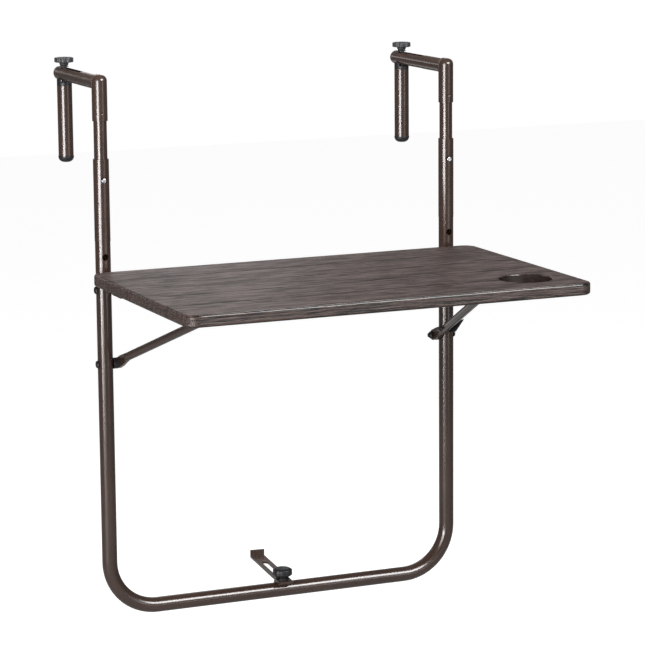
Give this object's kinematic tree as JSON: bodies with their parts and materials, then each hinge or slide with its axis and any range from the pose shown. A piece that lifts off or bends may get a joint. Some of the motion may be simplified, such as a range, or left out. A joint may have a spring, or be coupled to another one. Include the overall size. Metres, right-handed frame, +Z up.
{
  "type": "folding balcony table",
  "caption": "Folding table on a U-shaped tube frame that hooks over a balcony railing, with adjustable hooks, a plank-look top with a cup recess, swing braces and a lower clamp.",
  "frame": {"origin": "midway between the two hook arms, on the level of their underside where the railing's top edge lies, in the plane of the two posts", "axes": "+Z up along the posts, +Y away from the user towards the outside of the railing, +X to the user's right"},
  "size_m": [0.6, 0.594, 0.8052],
  "materials": {
    "frame_paint": "gloss",
    "table_plastic": "embossed wood grain",
    "black_plastic": "satin",
    "grey_plastic": "satin",
    "zinc": "zinc plated",
    "dark_steel": "blackened"
  },
  "bodies": {
    "frame": {"main_frame": "frame_paint", "rivet_nut": "zinc", "clamp_saddle": "frame_paint", "hinge_bolt_left": "dark_steel", "hinge_nut_left": "dark_steel", "hinge_spacer_left": "black_plastic", "brace_bolt_left": "dark_steel", "brace_nut_left": "dark_steel", "brace_spacer_left": "black_plastic", "hinge_bolt_right": "dark_steel", "hinge_nut_right": "dark_steel", "hinge_spacer_right": "black_plastic", "brace_bolt_right": "dark_steel", "brace_nut_right": "dark_steel", "brace_spacer_right": "black_plastic"},
    "table": {"tabletop": "table_plastic", "hinge_bracket_left": "frame_paint", "brace_catch_left": "black_plastic", "bracket_screw_left_1": "zinc", "bracket_screw_left_2": "zinc", "catch_screw_left_1": "zinc", "catch_screw_left_2": "zinc", "hinge_bracket_right": "frame_paint", "brace_catch_right": "black_plastic", "bracket_screw_right_1": "zinc", "bracket_screw_right_2": "zinc", "catch_screw_right_1": "zinc", "catch_screw_right_2": "zinc"},
    "brace_left": {"brace_tube_left": "frame_paint", "brace_pin_left": "zinc"},
    "hook_left": {"hook_tube_left": "frame_paint", "inner_tube_left": "frame_paint", "arm_cap_left": "frame_paint", "snap_leaf_left": "zinc"},
    "button_left": {"snap_button_left": "zinc"},
    "finger_left": {"finger_tube_left": "frame_paint", "finger_saddle_left": "black_plastic", "finger_cap_left": "black_plastic"},
    "knob_left": {"arm_knob_left": "grey_plastic", "arm_stud_left": "zinc", "arm_washer_left": "dark_steel"},
    "brace_right": {"brace_tube_right": "frame_paint", "brace_pin_right": "zinc", "latch_plate": "black_plastic", "latch_bolt": "dark_steel"},
    "hook_right": {"hook_tube_right": "frame_paint", "inner_tube_right": "frame_paint", "arm_cap_right": "frame_paint", "snap_leaf_right": "zinc"},
    "button_right": {"snap_button_right": "zinc"},
    "finger_right": {"finger_tube_right": "frame_paint", "finger_saddle_right": "black_plastic", "finger_cap_right": "black_plastic"},
    "knob_right": {"arm_knob_right": "grey_plastic", "arm_stud_right": "zinc", "arm_washer_right": "dark_steel"},
    "clamp_swivel": {"clamp_washer": "dark_steel"},
    "clamp_bar": {"clamp_bracket": "frame_paint"},
    "clamp_knob": {"clamp_knob": "black_plastic", "clamp_stud": "zinc"}
  },
  "joints": [
    {"name": "table_fold", "type": "hinge", "parent": "frame", "child": "table", "pos_m": [0, 0, -0.286], "axis": [1, 0, 0], "range_deg": [0, 90]},
    {"name": "brace_left_swing", "type": "hinge", "parent": "frame", "child": "brace_left", "pos_m": [-0.251, 0, -0.394], "axis": [1, 0, 0], "range_deg": [0, 112.1]},
    {"name": "hook_left_height", "type": "slide", "parent": "frame", "child": "hook_left", "axis": [0, 0, 1], "range_m": [-0.05, 0], "deforming": ["snap_button_left"]},
    {"name": "button_left_press", "type": "slide", "parent": "hook_left", "child": "button_left", "axis": [0, 1, 0], "range_m": [0, 0.0036], "stiffness_N_per_m": 900},
    {"name": "finger_left_slide", "type": "slide", "parent": "hook_left", "child": "finger_left", "axis": [0, 1, 0], "range_m": [-0.08, 0]},
    {"name": "knob_left_turn", "type": "hinge", "parent": "finger_left", "child": "knob_left", "pos_m": [-0.2715, 0.156, 0.03], "axis": [0, 0, 1], "continuous": true},
    {"name": "brace_right_swing", "type": "hinge", "parent": "frame", "child": "brace_right", "pos_m": [0.251, 0, -0.394], "axis": [1, 0, 0], "range_deg": [0, 112.1]},
    {"name": "hook_right_height", "type": "slide", "parent": "frame", "child": "hook_right", "axis": [0, 0, 1], "range_m": [-0.05, 0], "deforming": ["snap_button_right"]},
    {"name": "button_right_press", "type": "slide", "parent": "hook_right", "child": "button_right", "axis": [0, 1, 0], "range_m": [0, 0.0036], "stiffness_N_per_m": 900},
    {"name": "finger_right_slide", "type": "slide", "parent": "hook_right", "child": "finger_right", "axis": [0, 1, 0], "range_m": [-0.08, 0]},
    {"name": "knob_right_turn", "type": "hinge", "parent": "finger_right", "child": "knob_right", "pos_m": [0.2715, 0.156, 0.03], "axis": [0, 0, 1], "continuous": true},
    {"name": "clamp_turn", "type": "hinge", "parent": "frame", "child": "clamp_swivel", "pos_m": [0, 0, -0.745], "axis": [0, 0, 1], "range_deg": [-90, 90]},
    {"name": "clamp_slide", "type": "slide", "parent": "clamp_swivel", "child": "clamp_bar", "axis": [0.1149, 0.9934, 0], "range_m": [-0.095, 0]},
    {"name": "clamp_knob_turn", "type": "hinge", "parent": "frame", "child": "clamp_knob", "pos_m": [0, 0, -0.735], "axis": [0, 0, 1], "continuous": true}
  ],
  "couplings": [
    {"joint": "brace_left_swing", "follows": "table_fold", "ratio": 1.245},
    {"joint": "brace_right_swing", "follows": "table_fold", "ratio": 1.245}
  ]
}
